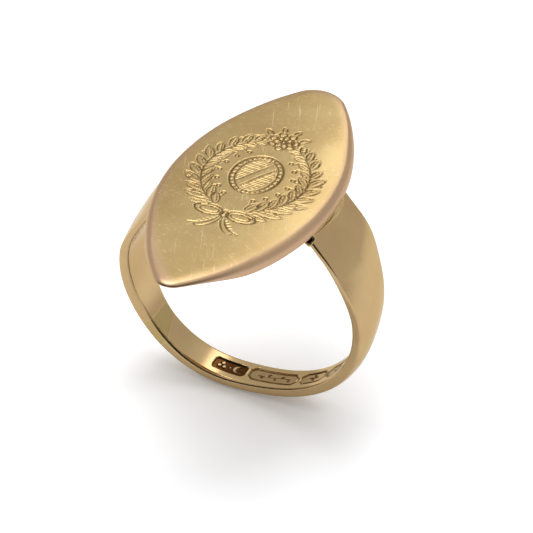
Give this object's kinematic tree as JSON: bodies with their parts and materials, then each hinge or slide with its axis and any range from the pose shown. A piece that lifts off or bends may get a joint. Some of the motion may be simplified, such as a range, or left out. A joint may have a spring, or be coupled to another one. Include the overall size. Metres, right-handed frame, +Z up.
{
  "type": "signet ring",
  "caption": "Gold signet ring: a long pointed-oval table soldered across a crowned strip shank that widens to the shoulders.",
  "frame": {"origin": "centre of the finger bore, midway along the shank's width", "axes": "+Y along the finger bore and the table's length, towards the table's far tip; +X across the shoulders; +Z up to the table's engraved face"},
  "size_m": [0.019, 0.0254, 0.0184],
  "materials": {
    "engraved_gold": "satin, rubbed flat by wear, with fine random scratches and a bright cut crest",
    "worn_gold": "soft polish with fine scratches, rounded edges and small pits",
    "pale_gold": "soft polish, slightly greener than the shank",
    "gold_solder": "pale satin solder with tiny pinholes"
  },
  "bodies": {
    "root": {"table": "engraved_gold", "shank": "worn_gold", "left_shoulder": "worn_gold", "sizing_piece": "pale_gold", "upper_sizing_seam": "gold_solder", "lower_sizing_seam": "gold_solder", "left_table_solder": "gold_solder", "right_table_solder": "gold_solder"}
  },
  "joints": []
}
